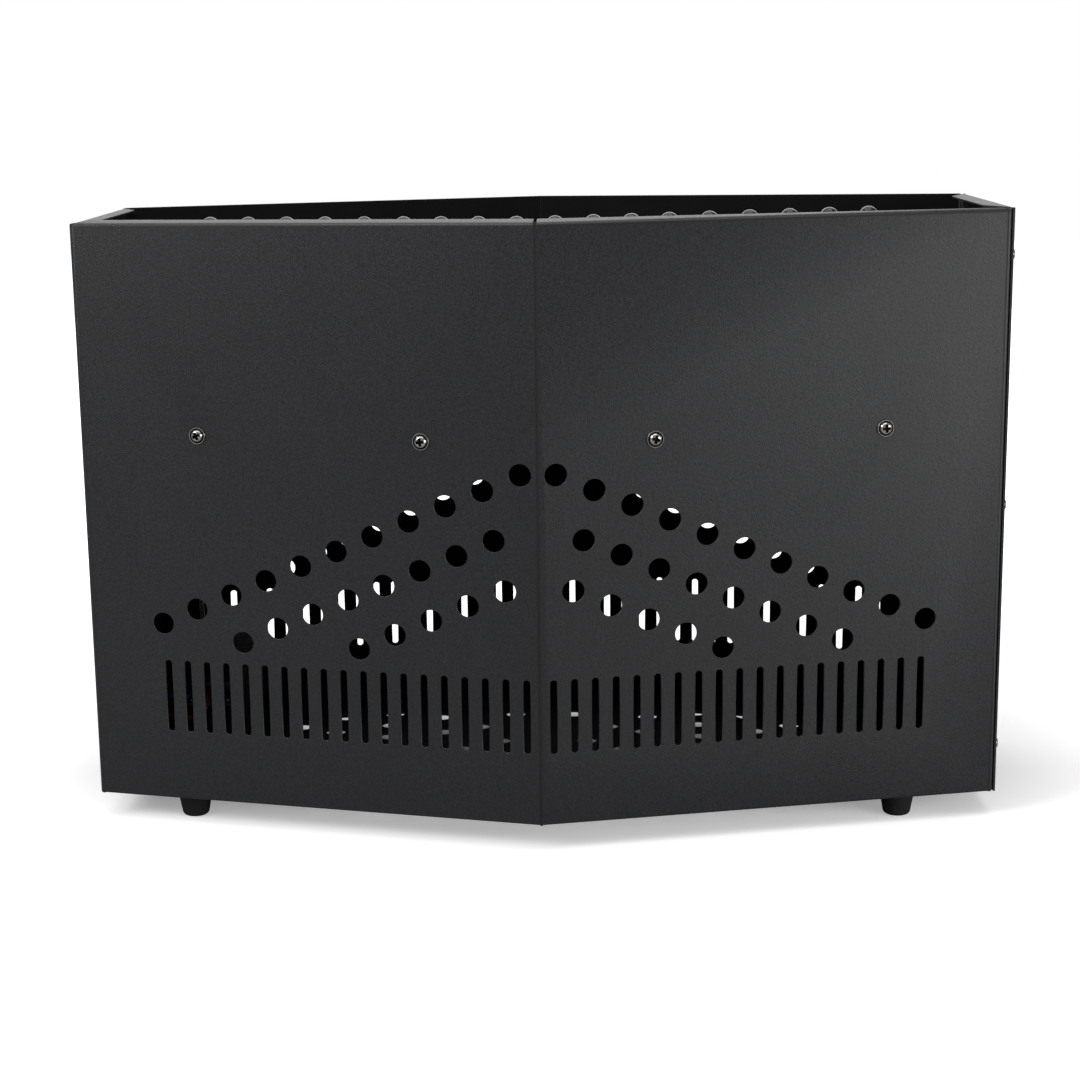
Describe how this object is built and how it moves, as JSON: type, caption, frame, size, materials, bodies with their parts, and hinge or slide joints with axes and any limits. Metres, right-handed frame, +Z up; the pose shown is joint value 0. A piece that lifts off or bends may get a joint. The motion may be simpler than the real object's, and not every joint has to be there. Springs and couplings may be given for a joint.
{
  "type": "flame effect light",
  "caption": "Free-standing flame effect light: black sheet steel box, hexagonal in plan, with vented V-shaped walls, an open top, silk flames over fans and LED lenses behind the front edge.",
  "frame": {"origin": "bottom centre of the whole light, on the surface that its feet stand on", "axes": "+X to the right along the long walls as seen from the front, +Y from the front wall to the rear wall, +Z up"},
  "size_m": [0.506, 0.25, 0.335],
  "materials": {
    "black_paint": "fine grained black powder coat",
    "deck_steel": "galvanised sheet",
    "supply_case": "plain sheet case, mostly air inside",
    "nickel": "nickel plated",
    "rubber": "matt",
    "black_plastic": "fine grain",
    "clear_lens": "clear",
    "rail_aluminium": "mill finish",
    "led_board_white": "satin",
    "control_board_green": "satin",
    "silk": "thin white silk",
    "wire_brown": "satin",
    "wire_blue": "satin",
    "display": "tinted clear",
    "button_grey": "satin"
  },
  "bodies": {
    "housing": {"front_panel": "black_paint", "rear_panel": "black_paint", "left_side_plate": "black_paint", "right_side_cover": "black_paint", "base_plate": "black_paint", "fan_deck": "deck_steel", "power_supply": "supply_case", "deck_screw_front_left_inner": "nickel", "deck_screw_front_left_outer": "nickel", "deck_screw_front_right_inner": "nickel", "deck_screw_front_right_outer": "nickel", "deck_screw_rear_left_inner": "nickel", "deck_screw_rear_left_outer": "nickel", "deck_screw_rear_right_inner": "nickel", "deck_screw_rear_right_outer": "nickel", "cover_screw_front_low": "nickel", "cover_screw_front_middle": "nickel", "cover_screw_front_high": "nickel", "cover_screw_rear_low": "nickel", "cover_screw_rear_middle": "nickel", "cover_screw_rear_high": "nickel", "fan_guard_left": "nickel", "fan_guard_right": "nickel", "silk_rail_left": "nickel", "silk_rail_right": "nickel", "foot_front_left": "rubber", "foot_front_right": "rubber", "foot_rear_left": "rubber", "foot_rear_right": "rubber", "wire_loom": "rubber", "fan_frame_left": "black_plastic", "fan_frame_right": "black_plastic", "mains_inlet": "black_plastic", "switch_housing": "black_plastic", "data_in_socket": "black_plastic", "data_out_socket": "black_plastic", "control_bezel": "black_plastic", "lens_strip_left": "clear_lens", "lens_strip_right": "clear_lens", "led_rail_left": "rail_aluminium", "led_rail_right": "rail_aluminium", "led_board_left": "led_board_white", "led_board_right": "led_board_white", "control_board": "control_board_green", "silk_flame_left": "silk", "silk_flame_right": "silk", "mains_wire_brown": "wire_brown", "mains_wire_blue": "wire_blue", "display_window": "display"},
    "fan_left": {"fan_rotor_left": "black_plastic"},
    "fan_right": {"fan_rotor_right": "black_plastic"},
    "fuse_tray": {"fuse_drawer": "black_plastic"},
    "rocker": {"switch_rocker": "black_plastic"},
    "key_1": {"button_1": "button_grey"},
    "key_2": {"button_2": "button_grey"},
    "key_3": {"button_3": "button_grey"},
    "key_4": {"button_4": "button_grey"}
  },
  "joints": [
    {"name": "fan_left_spin", "type": "hinge", "parent": "housing", "child": "fan_left", "pos_m": [-0.09375, 0, 0.2479], "axis": [0, 0, 1], "continuous": true},
    {"name": "fan_right_spin", "type": "hinge", "parent": "housing", "child": "fan_right", "pos_m": [0.09425, 0, 0.2479], "axis": [0, 0, 1], "continuous": true},
    {"name": "switch_rock", "type": "hinge", "parent": "housing", "child": "rocker", "pos_m": [-0.24705, 0.02, 0.062], "axis": [0, 1, 0], "range_deg": [0, 16]},
    {"name": "fuse_tray_slide", "type": "slide", "parent": "housing", "child": "fuse_tray", "axis": [-1, 0, 0], "range_m": [0, 0.014]},
    {"name": "key_1_press", "type": "slide", "parent": "housing", "child": "key_1", "axis": [1, 0, 0], "range_m": [0, 0.001], "stiffness_N_per_m": 400},
    {"name": "key_2_press", "type": "slide", "parent": "housing", "child": "key_2", "axis": [1, 0, 0], "range_m": [0, 0.001], "stiffness_N_per_m": 400},
    {"name": "key_3_press", "type": "slide", "parent": "housing", "child": "key_3", "axis": [1, 0, 0], "range_m": [0, 0.001], "stiffness_N_per_m": 400},
    {"name": "key_4_press", "type": "slide", "parent": "housing", "child": "key_4", "axis": [1, 0, 0], "range_m": [0, 0.001], "stiffness_N_per_m": 400}
  ]
}
